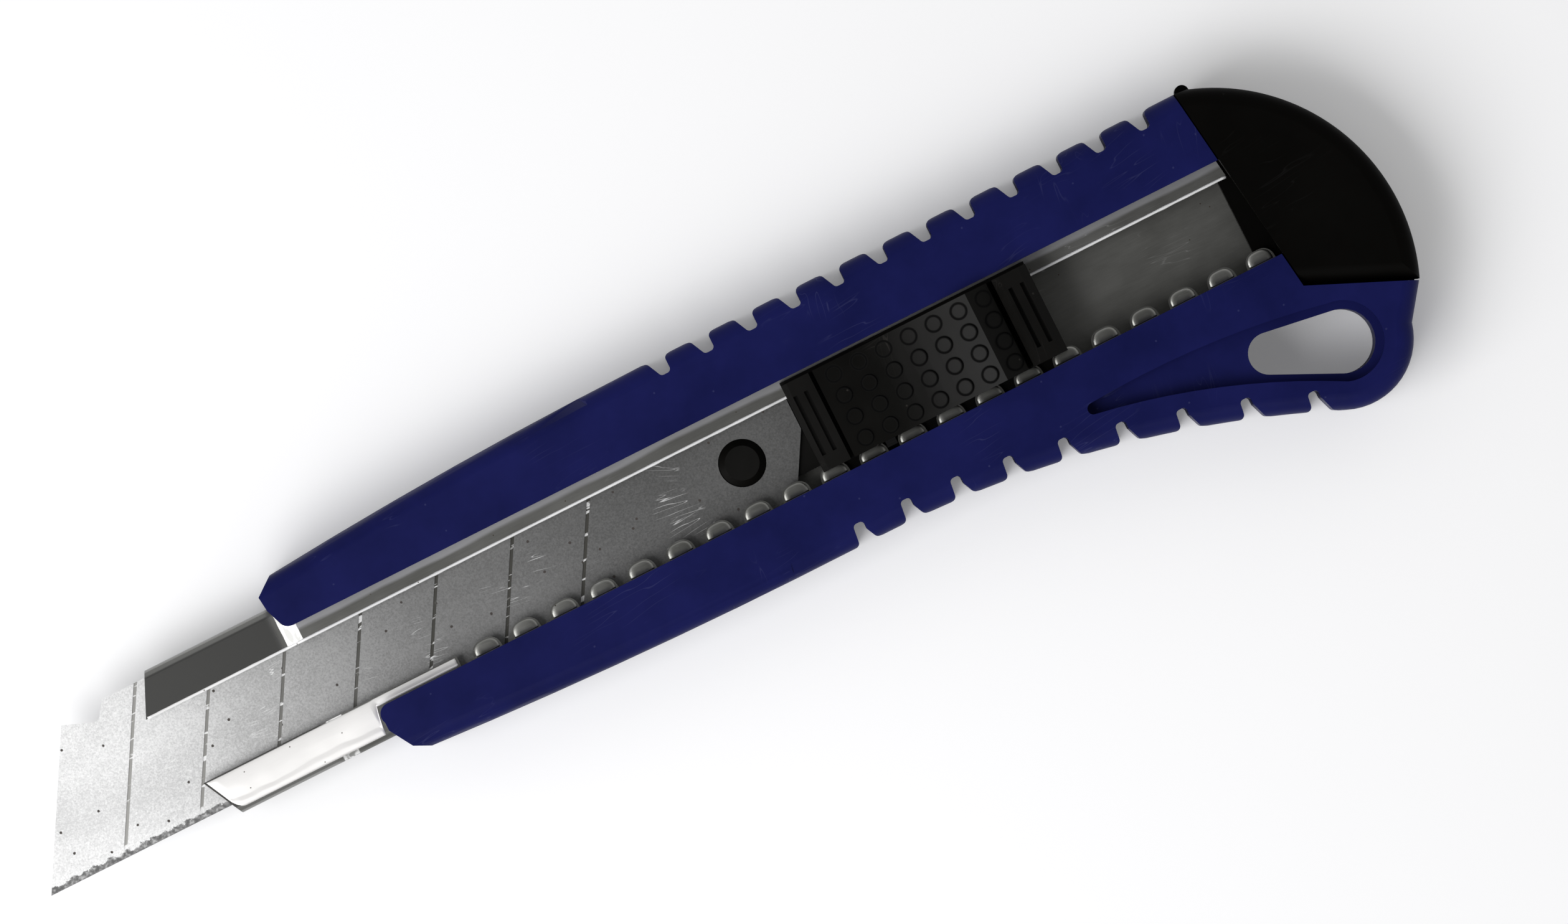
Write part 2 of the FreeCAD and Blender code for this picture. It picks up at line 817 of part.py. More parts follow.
def add_lanyard_hole(body, d):
    """Teardrop recess in the top with the tapered lanyard hole through its wide end."""
    x = d.lanyard_x
    y = lanyard_y(d)
    ring = d.lanyard_round + d.recess_ledge
    tip = d.recess_tip_round
    points = taper(x, y, ring, d.recess_run, d.recess_rise, tip)
    recess = [
        Corner(*points[0], bow=-d.recess_lower_bow),
        Corner(*points[1], bow=ring, wide=True),
        Corner(*points[2], bow=d.recess_upper_bow),
        Corner(*points[3], bow=tip),
    ]
    sketch = outline_sketch(body, "lanyard_recess", recess, at=d.handle_thick + 1)
    cut_pocket(body, sketch, d.recess_deep + 1)
    points = taper(x, y, d.lanyard_round, d.lanyard_run, d.lanyard_rise, d.lanyard_inner_round)
    hole = [
        Corner(*points[0]),
        Corner(*points[1], bow=d.lanyard_round, wide=True),
        Corner(*points[2]),
        Corner(*points[3], bow=d.lanyard_inner_round),
    ]
    sketch = outline_sketch(body, "lanyard_hole", hole, at=d.handle_thick + 1)
    cut_pocket(body, sketch, d.handle_thick + 2)


def build_cap(doc, d):
    """End cap: closes the rear, with a tongue inside the channel and a catch on its upper side."""
    body = new_body(doc, "end_cap")
    half = channel_half(d)
    gap = d.cap_gap
    top = d.handle_thick
    heel = -half - d.cap_heel_wall
    tail = lanyard_y(d)
    plan = [
        Corner(d.cap_top + d.cap_lean + gap, heel + gap),
        Corner(d.lanyard_x + d.tail_end + gap, tail + d.tail_rise + gap, bow=d.cap_curve),
        Corner(d.cap_top + d.cap_brow + gap, half + d.upper_rear_wall - gap),
        Corner(d.cap_top + gap, half + d.upper_rear_wall),
    ]
    add_pad(body, outline_sketch(body, "plan", plan), top)

    def rim(height):
        limit = number(d.cap_top) + number(d.cap_lean)

        def test(edge):
            middle = edge.valueAt((edge.FirstParameter + edge.LastParameter) / 2)
            return flat_edge(edge, height) and middle.x > limit and middle.y > number(tail) + 5.0
        return test

    round_edges(body, "top_rounding", d.edge_round, rim(number(top)))
    round_edges(body, "back_rounding", d.back_round, rim(0.0))
    inner = half - d.sheet_thick - d.side_gap
    rest = channel_floor(d) + d.running_gap
    height = lip_under(d) - d.running_gap - rest
    tongue = rectangle(d.tongue_front, -inner, d.cap_top + d.cap_lean + d.tongue_root, inner)
    add_pad(body, outline_sketch(body, "tongue", tongue, at=rest), height)
    catch = new_sketch(body, "catch", at=d.back_plate)
    circle(catch, d.cap_top + d.catch_round + 2 * gap, half + d.upper_rear_wall - d.catch_sink, d.catch_round)
    add_pad(body, catch, d.channel_height)
    return body


def build_carrier(doc, d):
    """Blade carrier: slab in the channel, arm under the blade, stud, and web up through the slot."""
    body = new_body(doc, "blade_carrier")
    rest = channel_floor(d) + d.running_gap
    under_blade = blade_level(d)
    half = channel_half(d) - d.sheet_thick - d.side_gap
    slab_top = lip_under(d) - d.running_gap
    slab = rectangle(d.slab_front, -half, d.slab_rear, half)
    add_pad(body, outline_sketch(body, "slab", slab, at=rest), slab_top - rest)
    arm = [
        Corner(-d.arm_half, d.blade_offset - d.arm_half, rounded=d.arm_round),
        Corner(d.slab_front + 1, d.blade_offset - d.arm_half),
        Corner(d.slab_front + 1, d.blade_offset + d.arm_half),
        Corner(-d.arm_half, d.blade_offset + d.arm_half, rounded=d.arm_round),
    ]
    add_pad(body, outline_sketch(body, "arm", arm, at=rest), under_blade - rest)
    stud = new_sketch(body, "stud", at=rest)
    circle(stud, 0.0, d.blade_offset, d.stud_width / 2)
    stud_top = under_blade + d.blade_thick + d.stud_stand
    add_pad(body, stud, stud_top - rest)
    base = body.Tip
    bevel = body.newObject("PartDesign::Chamfer", "stud_bevel")
    bevel.Base = (base, edges_where(base.Shape, lambda e: flat_edge(e, number(stud_top)) and e.isClosed()))
    bevel.Size = number((d.stud_width - d.stud_flat) / 2)
    bind(bevel, "Size", (d.stud_width - d.stud_flat) / 2)
    doc.recompute()
    web = rectangle(d.slab_front, -slot_lower(d) + d.lobe_reach + d.side_gap,
                    d.slab_rear, slot_upper(d) - d.side_gap)
    add_pad(body, outline_sketch(body, "web", web, at=slab_top), lip_top(d) + d.running_gap - slab_top)
    well = rectangle(well_front(d), -well_half(d), well_rear(d), well_half(d))
    well_sketch = outline_sketch(body, "spring_well", well, at=lip_top(d) + 1)
    cut_pocket(body, well_sketch, lip_top(d) + 1 - under_blade)
    reach = d.tooth_width / 2 + d.side_gap
    tooth_slot = rectangle(tooth_at(d) - reach, -half + d.tooth_slot_wall, tooth_at(d) + reach, 0.0)
    depth = lip_top(d) + 1 - slab_top + d.button_travel + d.tooth_slot_spare
    cut_pocket(body, outline_sketch(body, "tooth_slot", tooth_slot, at=lip_top(d) + 1), depth)
    place(body, d.carriage_at, 0.0, 0.0)
    return body


def tooth_at(d):
    """Tooth, measured from the stud: it stands in a gap between two lobes."""
    return d.first_lobe + d.tooth_notch * d.lobe_pitch - d.carriage_at


def well_front(d):
    return d.slab_front + d.well_margin_front


def well_rear(d):
    return d.slab_rear - d.well_margin_rear


def well_half(d):
    return d.spring_width / 2 + d.well_play


def hinge_place(d):
    """Button hinge axis, along X and Z."""
    x = d.frame_rear - d.rear_block - d.side_gap - d.hinge_round
    z = plate_top(d) + d.running_gap + d.hinge_round
    return x, z


def plate_top(d):
    return lip_top(d) + d.running_gap + d.frame_plate


def build_frame(doc, d):
    """Slide frame over the lips: a thin plate with ribbed blocks before and behind the button."""
    body = new_body(doc, "slider_frame")
    base = lip_top(d) + d.running_gap
    low = -slot_lower(d) - d.frame_over_lower
    high = slot_upper(d) + d.frame_over_upper
    plate = plate_top(d)
    front = d.frame_front
    rear = d.frame_rear
    block = rear - d.rear_block
    crest = d.crest_height
    side = [
        Corner(front, base),
        Corner(rear, base),
        Corner(rear, crest - d.rear_bevel),
        Corner(rear - d.rear_bevel, crest - d.rear_bevel_drop),
        Corner(block + d.rear_step_run, crest),
        Corner(block, crest - d.rear_step),
        Corner(block, plate),
        Corner(front + d.front_block, plate),
        Corner(front + d.front_block, d.front_height),
        Corner(front + d.front_bevel, d.front_height),
        Corner(front, d.front_height - d.front_bevel),
    ]
    sketch = outline_sketch(body, "side_view", side, "XZ_Plane", -high)
    add_pad(body, sketch, high - low)
    flange = rectangle(front, high - d.side_gap, rear, high + d.flange_over)
    add_pad(body, outline_sketch(body, "flange", flange, at=base), d.frame_plate)
    hole = rectangle(well_front(d), -well_half(d), well_rear(d), well_half(d))
    cut_pocket(body, outline_sketch(body, "spring_window", hole, at=plate + 0.5), d.frame_plate + 1)
    first = front + d.front_groove_at
    last = block + d.rear_groove_at
    grooves = (
        ("front_groove_1", first, d.front_height, d.front_groove_deep),
        ("front_groove_2", first + d.front_groove_step, d.front_height, d.front_groove_deep),
        ("rear_groove_1", last, crest, d.rear_groove_deep),
        ("rear_groove_2", last + d.rear_groove_step, crest, d.rear_groove_deep),
    )
    for name, x, level, deep in grooves:
        groove = rectangle(x, low + d.groove_margin, x + d.groove_width, high - d.groove_margin)
        cut_pocket(body, outline_sketch(body, name, groove, at=level + 0.3), deep + 0.3)
    place(body, d.carriage_at, 0.0, 0.0)
    return body


def build_button(doc, d):
    """Thumb button: dished pad with round pips, hinge barrel at its rear, post above the spring."""
    body = new_body(doc, "thumb_button")
    low = -slot_lower(d) - d.frame_over_lower
    high = slot_upper(d) + d.frame_over_upper
    hinge_x, hinge_z = hinge_place(d)
    front = d.frame_front + d.front_block + d.button_gap
    under = plate_top(d) + d.running_gap
    pad_under = under + d.button_travel + 0.1
    side = [
        Corner(front, pad_under),
        Corner(hinge_x + d.hinge_round, under, rounded=d.barrel_round),
        Corner(hinge_x + d.hinge_round, under + 2 * d.hinge_round, rounded=d.barrel_round),
        Corner(hinge_x + d.pad_rear, d.crest_height - d.pad_fall),
        Corner(d.crest_at, d.crest_height, bow=-d.dish_round),
        Corner(front, d.front_height),
    ]
    add_pad(body, outline_sketch(body, "side_view", side, "XZ_Plane", -high), high - low)
    add_pips(body, d, front)
    x = tooth_at(d)
    half = d.post_width / 2
    post = rectangle(x - half, -half, x + half, half)
    foot = leaf_top(d) + d.touch_gap
    add_pad(body, outline_sketch(body, "post", post, at=foot), pad_under + 0.5 - foot)
    place(body, d.carriage_at, 0.0, 0.0)
    return body


def add_pips(body, d, front):
    """Round pips on the dish: tall pins first, then cut to one height above the dish."""
    rows = number(d.pip_rows)
    middle = (slot_upper(d) + d.frame_over_upper - slot_lower(d) - d.frame_over_lower) / 2
    first_y = middle - (rows - 1) * d.pip_pitch_y / 2
    first_x = front + d.first_pip
    pins = new_sketch(body, "pip", at=d.front_height - 2)
    circle(pins, first_x, first_y, d.pip_round)
    tall = d.crest_height + 2 - (d.front_height - 2)
    pin = add_pad(body, pins, tall)
    grid = body.newObject("PartDesign::LinearPattern", "pip_grid")
    grid.Originals = [pin]
    grid.Direction = (pins, ["H_Axis"])
    grid.Mode = "Spacing"
    grid.Direction2 = (pins, ["V_Axis"])
    grid.Mode2 = "Spacing"
    bind(grid, "Offset", d.pip_pitch_x)
    bind(grid, "Offset2", d.pip_pitch_y)
    bind(grid, "Occurrences", d.pip_columns)
    bind(grid, "Occurrences2", d.pip_rows)
    body.Tip = grid
    body.Document.recompute()
    stand = d.pip_stand
    rear = hinge_place(d)[0] + d.pad_rear
    trim = [
        Corner(front - 1, d.front_height + stand),
        Corner(front, d.front_height + stand, bow=d.dish_round),
        Corner(d.crest_at, d.crest_height + stand),
        Corner(rear, d.crest_height + stand - d.pad_fall),
        Corner(rear + 1, d.crest_height + stand - d.pad_fall),
        Corner(rear + 1, d.crest_height + 4),
        Corner(front - 1, d.crest_height + 4),
    ]
    wide = 4 * channel_half(d)
    cut_pocket(body, outline_sketch(body, "pip_trim", trim, "XZ_Plane"), wide, both_ways=True)


def leaf_top(d):
    """Top of the spring's free end, level with the lips so that its tooth fills a notch."""
    return lip_top(d) - d.touch_gap


def build_spring(doc, d):
    """Lock spring: a leaf from the floor of the carrier's well up to its tooth in a lip notch."""
    body = new_body(doc, "lock_spring")
    thick = d.spring_thick
    floor = blade_level(d)
    rear = well_rear(d) - d.side_gap
    bend = rear - d.spring_foot
    front = tooth_at(d) - d.post_width / 2 - d.leaf_overhang
    free_end = tooth_at(d) + d.post_width / 2 + d.leaf_overhang
    top = leaf_top(d)
    leaf = [
        Corner(front, top - thick),
        Corner(free_end, top - thick),
        Corner(bend, floor),
        Corner(rear, floor),
        Corner(rear, floor + thick),
        Corner(bend, floor + thick),
        Corner(free_end, top),
        Corner(front, top),
    ]
    sketch = outline_sketch(body, "leaf", leaf, "XZ_Plane")
    add_pad(body, sketch, d.spring_width, both_ways=True)
    x = tooth_at(d)
    reach = -slot_lower(d) - d.tooth_reach
    tooth = rectangle(x - d.tooth_width / 2, reach, x + d.tooth_width / 2, 0.0)
    add_pad(body, outline_sketch(body, "tooth", tooth, at=top - thick), thick)
    place(body, d.carriage_at, 0.0, 0.0)
    return body


def check(doc, bodies):
    for item in doc.Objects:
        if "Invalid" in item.State or "Error" in item.State:
            raise RuntimeError(f"{item.Name} failed: {item.State}")
    for body in bodies:
        if body.Shape.isNull() or not body.Shape.isValid():
            raise RuntimeError(f"{body.Label} has no valid shape")


def main():
    doc = FreeCAD.newDocument("craft_knife")
    d = Sheet(doc, SIZES)
    builders = (
        build_handle, build_channel, build_cap, build_blade,
        build_carrier, build_frame, build_button, build_spring,
    )
    bodies = [build(doc, d) for build in builders]
    doc.recompute()
    check(doc, bodies)
    os.makedirs("parts", exist_ok=True)
    for body in bodies:
        body.Shape.exportStep(f"parts/{body.Label}.step")
        box = body.Shape.BoundBox
        print(body.Label, len(body.Shape.Solids), round(body.Shape.Volume, 2), box)


if __name__ == "__main__":
    main()
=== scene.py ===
"""Looks of a snap-off craft knife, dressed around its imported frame."""
import math

import bmesh
import bpy
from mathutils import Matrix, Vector, noise as turbulence


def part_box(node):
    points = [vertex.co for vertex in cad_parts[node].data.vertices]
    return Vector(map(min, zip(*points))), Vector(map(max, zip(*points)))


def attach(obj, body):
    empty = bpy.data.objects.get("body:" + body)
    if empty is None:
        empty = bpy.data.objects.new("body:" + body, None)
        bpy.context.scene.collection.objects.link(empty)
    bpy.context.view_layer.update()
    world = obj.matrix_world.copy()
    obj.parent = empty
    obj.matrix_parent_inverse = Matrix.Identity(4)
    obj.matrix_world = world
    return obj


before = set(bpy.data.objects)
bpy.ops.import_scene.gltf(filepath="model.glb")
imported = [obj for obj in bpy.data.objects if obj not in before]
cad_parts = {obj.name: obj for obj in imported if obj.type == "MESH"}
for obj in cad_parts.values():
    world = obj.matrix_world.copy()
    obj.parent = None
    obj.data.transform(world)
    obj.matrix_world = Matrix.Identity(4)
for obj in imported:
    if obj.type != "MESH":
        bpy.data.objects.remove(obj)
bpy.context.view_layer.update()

MM = 0.001


def corners(node):
    """A node's lowest and highest corners at rest, in millimetres."""
    return [[value / MM for value in corner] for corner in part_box(node)]


# Sizes in millimetres from the frame.
(NOSE_FRONT, _, _), (_, SLEEVE_HALF, LIP_TOP) = corners("blade_sleeve")
(_, CUTTING_EDGE, _), (_, _, BLADE_TOP) = corners("snap_blade")

# The photograph: its width, and how the knife lies in it.
PHOTO_WIDTH_PX = 2518
PIXELS_PER_MM = 13.65
KNIFE_TILT = math.radians(26.69)
PHOTO_CENTRE = (0.15 * MM, -1.8 * MM)

# The camera, in metres, and the width of its film in millimetres.
CAMERA_DISTANCE = 2.0
CAMERA_NEAR = 0.01
CAMERA_FAR = 20
SENSOR_WIDTH = 36.0

# The lamp and the floor, in metres and watts.
# The tent's heights are the upward part of a direction, 1 straight up.
KEY_SIZE = (0.5, 0.5)
KEY_PLACE = (-0.4, -0.13, 0.47)
KEY_POWER = 3.2
OVERHEAD_HEIGHT = 0.985
SIDES_HEIGHT = 0.8
OVERHEAD_GLOW = 0.1
SIDES_GLOW = 0.5
BACKDROP_GLOW = 1.0
FLOOR_REACH = 3.0
FLOOR_GAP = 0.05 * MM
FLOOR_COLOUR = (0.93, 0.93, 0.94, 1)
FLOOR_ROUGHNESS = 0.7
FLOOR_GLOW = 0.14

# Sizes of the solids in millimetres that the frame's boxes don't give.
SLOT_UPPER = 4.8
SLOT_LOWER = 4.9
UPPER_LIP_REAR = 61.6
STEP_START = -61.7
STEP_END = -59.7
STEP_DROP = 0.8
RAIL_TIP = -56.0
RAIL_EDGE = 6.2
FIRST_LOBE = -40.9
LOBE_PITCH = 5.085
LOBE_COUNT = 21
LOBE_HALF = 1.58
LOBE_DEPTH = 1.4
LOBE_MIDDLE = -5.95
SCORE_DEPTH = 0.12
BEVEL_WIDTH = 1.3
FIRST_PIP_X = 10.01
PIP_PITCH_X = 3.27
FIRST_PIP_Y = -3.505
PIP_PITCH_Y = 2.77
PIP_RADIUS = 0.92

# Where the looks change along the knife, in millimetres: (no effect, full effect).
# Painted light falloff: the blade is painted darker away from the tip.
BLADE_LIGHT_FALLOFF = (-92, -44)
# Painted shade on the blade towards the stud.
BLADE_REAR_SHADE = (-50, -8)
BLADE_FROST = (-70, -94)
NOSE_POLISH = (STEP_START + 0.4, STEP_START - 1.2)
# Reach of the painted highlight band on the upper lip.
HIGHLIGHT_BAND_REACH = (6.5, 7.0)
WEAR_DEPTH = 1.8
WEAR_SHIFT = -0.15
# Painted shade round the foot of each thumb pip.
RING_FADE = 0.22
RING_INNER = 0.04
RING_OUTER = 0.06

# The bead on the sheared edge of the upper lip.
BEAD_SETBACK = 0.25
BEAD_RADIUS = 0.19
BEAD_UNEVEN = 0.04
BEAD_INSET = 0.07
BEAD_DROP = 0.08
BEAD_SIDES = 8

# The folded strip at the front of the lower lip. Its crown is a list of (share of the width, height).
STRIP_START = NOSE_FRONT + 3.0
STRIP_END = -44.8
STRIP_STATION = 0.25
STRIP_INNER = -SLOT_LOWER - 0.1
STRIP_OPEN_MARGIN = 0.6
STRIP_RAIL_MARGIN = 0.15
STRIP_CORNER_RUN = 1.2
STRIP_CORNER_DEPTH = 0.9
STRIP_SLANT = 0.5
STRIP_SLANT_RUN = 8.0
STRIP_RISE_RUN = 1.0
STRIP_LOW_FRONT = 0.3
STRIP_RAIL_DIP = 0.5
STRIP_WANDER = 0.11
STRIP_SUNK = 0.1
STRIP_CROWN = (
    (0.0, -0.05), (0.03, 0.08), (0.09, 0.16), (0.5, 0.17), (0.7, 0.03),
    (0.75, 0.03), (0.82, 0.14), (0.88, 0.13), (0.95, 0.04), (1.0, -0.05),
)
STRIP_UNDERSIDE = (0.8, 0.5, 0.2)

# The domes on the lobes: each ring is (share of the lobe's size, height).
DOME_RINGS = ((1.0, -0.05), (0.94, 0.05), (0.8, 0.11), (0.6, 0.13))
DOME_SIDES = 28
DOME_SQUARENESS = 0.75
DOME_RAIL_GAP = 0.05
DOME_RAIL_SLOPE = 0.3

# The rim along the seam between the cap and the handle: its corners, and its section.
CAP_SEAM = ((60.49, 15.9), (64.05, -10.55), (76.2, -15.9))
RIM_INSIDE = 0.1
RIM_OUTSIDE = 0.12
RIM_FOOT = 1.6
RIM_TOP = 3.4

# Rounding of the solids' edges.
FLAT_ANGLE = math.radians(0.5)
SHARP_ANGLE = math.radians(35)
ROUNDING_STEPS = 3

# Places of a Mix node's colour sockets, whose names its other sockets share.
MIX_FIRST = 6
MIX_SECOND = 7
MIX_RESULT = 2


def new_material(name):
    """An empty material and its Principled shader."""
    material = bpy.data.materials.new(name)
    material.use_nodes = True
    nodes = material.node_tree.nodes
    nodes.clear()
    shader = nodes.new("ShaderNodeBsdfPrincipled")
    output = nodes.new("ShaderNodeOutputMaterial")
    material.node_tree.links.new(shader.outputs["BSDF"], output.inputs["Surface"])
    return material, shader


def add_node(material, kind, **settings):
    """A new node. Each setting names one of its sockets or else one of its properties."""
    node = material.node_tree.nodes.new(kind)
    for key, value in settings.items():
        if key in node.inputs:
            node.inputs[key].default_value = value
        else:
            setattr(node, key, value)
    return node


def link(material, source, target):
    material.node_tree.links.new(source, target)


def feeding(shader, name):
    """The output that feeds one of the shader's sockets."""
    return shader.inputs[name].links[0].from_socket


def place_texture(material, stretch=(1, 1, 1), turn=0.0):
    """Object coordinates in millimetres, turned about Z and scaled along each axis by stretch."""
    where = add_node(material, "ShaderNodeTexCoord").outputs["Object"]
    if turn:
        spin = add_node(material, "ShaderNodeMapping")
        spin.inputs["Rotation"].default_value = (0, 0, math.radians(turn))
        link(material, where, spin.inputs["Vector"])
        where = spin.outputs["Vector"]
    mapping = add_node(material, "ShaderNodeMapping")
    mapping.inputs["Scale"].default_value = [value / MM for value in stretch]
    link(material, where, mapping.inputs["Vector"])
    return mapping.outputs["Vector"]


def axes(material):
    """The X, Y and Z object coordinates in millimetres."""
    split = add_node(material, "ShaderNodeSeparateXYZ")
    link(material, place_texture(material), split.inputs["Vector"])
    return split.outputs["X"], split.outputs["Y"], split.outputs["Z"]


def calculate(material, operation, *values):
    """Result of a Math node on numbers and sockets."""
    node = add_node(material, "ShaderNodeMath", operation=operation)
    for socket, value in zip(node.inputs, values):
        if isinstance(value, (int, float)):
            socket.default_value = value
        else:
            link(material, value, socket)
    return node.outputs["Value"]


def step_up(material, value, low, high):
    """0 at low and 1 at high, smooth between. Where low is above high it steps down instead."""
    node = add_node(material, "ShaderNodeMapRange", interpolation_type="SMOOTHSTEP")
    node.inputs["From Min"].default_value = low
    node.inputs["From Max"].default_value = high
    link(material, value, node.inputs["Value"])
    return node.outputs["Result"]


def noise(material, where, scale, detail=3.0, roughness=0.5):
    node = add_node(material, "ShaderNodeTexNoise", Scale=scale, Detail=detail, Roughness=roughness)
    link(material, where, node.inputs["Vector"])
    return node.outputs["Fac"]


def ramp(material, factor, stops):
    """Colour ramp: stops are (position, colour) pairs, a single number standing for a grey."""
    node = add_node(material, "ShaderNodeValToRGB")
    link(material, factor, node.inputs["Fac"])
    elements = node.color_ramp.elements
    while len(elements) < len(stops):
        elements.new(0.5)
    for element, (position, colour) in zip(elements, stops):
        element.position = position
        element.color = (colour, colour, colour, 1) if isinstance(colour, float) else (*colour, 1)
    return node.outputs["Color"]


def mix_colour(material, factor, first, second):
    """First where the factor is 0 and second where it is 1. Both are colours or sockets."""
    node = add_node(material, "ShaderNodeMix", data_type="RGBA")
    link(material, factor, node.inputs["Factor"])
    for place, value in ((MIX_FIRST, first), (MIX_SECOND, second)):
        if isinstance(value, tuple):
            node.inputs[place].default_value = (*value, 1)
        else:
            link(material, value, node.inputs[place])
    return node.outputs[MIX_RESULT]


def add_bump(material, shader, height, distance, strength):
    node = add_node(material, "ShaderNodeBump", Strength=strength, Distance=distance)
    link(material, height, node.inputs["Height"])
    link(material, node.outputs["Normal"], shader.inputs["Normal"])


def scratches(material, stretch, scale, width, turn=0.0, patch=0.09, coverage=0.55):
    """Thin scratches, 1 on a scratch and 0 beside it, that come and go in patches."""
    patch_turn = turn + 40
    patch_fade = 0.12
    bands = noise(material, place_texture(material, stretch, turn), scale, detail=1.0)
    lines = ramp(material, bands, [(0.5 - width, 0.0), (0.5, 1.0), (0.5 + width, 0.0)])
    places = noise(material, place_texture(material, turn=patch_turn), patch, detail=2.0)
    shown = step_up(material, places, coverage, coverage + patch_fade)
    return calculate(material, "MULTIPLY", lines, shown)


def specks(material, spacing, size, share):
    """Small irregular spots, 1 on a spot. Share is the part of the cells that have one."""
    cells = add_node(material, "ShaderNodeTexVoronoi", voronoi_dimensions="2D", Scale=1.0)
    link(material, place_texture(material, (1 / spacing,) * 3), cells.inputs["Vector"])
    wobble = noise(material, place_texture(material), scale=3.0)
    distance = calculate(material, "MULTIPLY_ADD", wobble, size, cells.outputs["Distance"])
    spot = step_up(material, distance, 1.5 * size, 1.1 * size)
    split = add_node(material, "ShaderNodeSeparateColor")
    link(material, cells.outputs["Color"], split.inputs["Color"])
    chosen = calculate(material, "LESS_THAN", split.outputs["Red"], share)
    return calculate(material, "MULTIPLY", spot, chosen)


def moulded_plastic(name, deep, light, roughness, scuff, specular, scuff_amount):
    """Satin moulded plastic with a faint grain, a few scuffs along it and pale specks."""
    material, shader = new_material(name)
    where = place_texture(material)
    cloud = noise(material, where, scale=0.09, detail=5.0, roughness=0.6)
    grain = noise(material, where, scale=9.0, detail=2.0)
    base = mix_colour(material, ramp(material, cloud, [(0.3, 0.0), (0.7, 1.0)]), deep, light)
    long_marks = scratches(material, (0.12, 1.0, 1.0), scale=0.9, width=0.012, turn=-6)
    cross_marks = scratches(material, (1.0, 0.16, 1.0), scale=0.6, width=0.008, turn=12, coverage=0.6)
    marks = calculate(material, "MAXIMUM", long_marks, cross_marks)
    marks = calculate(material, "MAXIMUM", marks, specks(material, spacing=5.0, size=0.028, share=0.3))
    marks = calculate(material, "MULTIPLY", marks, scuff_amount)
    link(material, mix_colour(material, marks, base, scuff), shader.inputs["Base Color"])
    smooth, rough = roughness
    cloudy_roughness = ramp(material, cloud, [(0.3, smooth), (0.7, rough)])
    link(material, cloudy_roughness, shader.inputs["Roughness"])
    add_bump(material, shader, grain, distance=0.004 * MM, strength=0.5)
    shader.inputs["Specular IOR Level"].default_value = specular
    return material, shader


def blue_plastic():
    """Dark blue plastic of the handle."""
    return moulded_plastic(
        "blue_handle", deep=(0.0045, 0.0062, 0.056), light=(0.007, 0.009, 0.085),
        roughness=(0.36, 0.46), scuff=(0.1, 0.11, 0.24), specular=0.1, scuff_amount=0.18)[0]


def cap_plastic():
    """Black plastic of the cap: even and little worn."""
    return moulded_plastic(
        "black_cap", deep=(0.0012, 0.001, 0.0007), light=(0.002, 0.0018, 0.0014),
        roughness=(0.45, 0.55), scuff=(0.03, 0.03, 0.03), specular=0.04, scuff_amount=0.15)[0]


def slide_plastic():
    """Black plastic of the carriage and the slide: dusty."""
    return moulded_plastic(
        "black_slide", deep=(0.0022, 0.002, 0.0016), light=(0.005, 0.0046, 0.004),
        roughness=(0.4, 0.5), scuff=(0.06, 0.055, 0.05), specular=0.12, scuff_amount=0.4)[0]


def edge_highlight_plastic():
    """The slide's plastic painted paler on its rounded edges: a painted highlight."""
    return moulded_plastic(
        "slide_edge_highlight", deep=(0.006, 0.0055, 0.005), light=(0.016, 0.015, 0.013),
        roughness=(0.35, 0.45), scuff=(0.1, 0.095, 0.09), specular=0.25, scuff_amount=0.5)[0]


def pip_shade_ring(material):
    """1 on the foot of each thumb pip, where shade is painted, worked out from the grid that the pips stand
    on.
    """
    x, y, _ = axes(material)
    squares = []
    for value, first, pitch in ((x, FIRST_PIP_X, PIP_PITCH_X), (y, FIRST_PIP_Y, PIP_PITCH_Y)):
        turns = calculate(material, "MULTIPLY_ADD", value, 1 / pitch, 0.5 - first / pitch)
        centred = calculate(material, "SUBTRACT", calculate(material, "FRACT", turns), 0.5)
        offset = calculate(material, "MULTIPLY", centred, pitch)
        squares.append(calculate(material, "MULTIPLY", offset, offset))
    radius = calculate(material, "SQRT", calculate(material, "ADD", *squares))
    inside = step_up(material, radius, PIP_RADIUS - RING_FADE, PIP_RADIUS - RING_INNER)
    outside = step_up(material, radius, PIP_RADIUS + RING_FADE, PIP_RADIUS + RING_OUTER)
    return calculate(material, "MULTIPLY", inside, outside)


def thumb_plastic():
    """Black plastic of the pad: dusty, with painted shade round the foot of every pip, dull there too."""
    material, shader = moulded_plastic(
        "thumb_plastic", deep=(0.0018, 0.0017, 0.0013), light=(0.004, 0.0037, 0.003),
        roughness=(0.36, 0.46), scuff=(0.05, 0.045, 0.04), specular=0.12, scuff_amount=0.4)
    ring = pip_shade_ring(material)
    # Painted shade: near-black and dull at the foot of every pip.
    for name, at_foot in (("Base Color", (0.001, 0.001, 0.001)), ("Roughness", (0.9, 0.9, 0.9))):
        mixed = mix_colour(material, ring, feeding(shader, name), at_foot)
        link(material, mixed, shader.inputs[name])
    return material


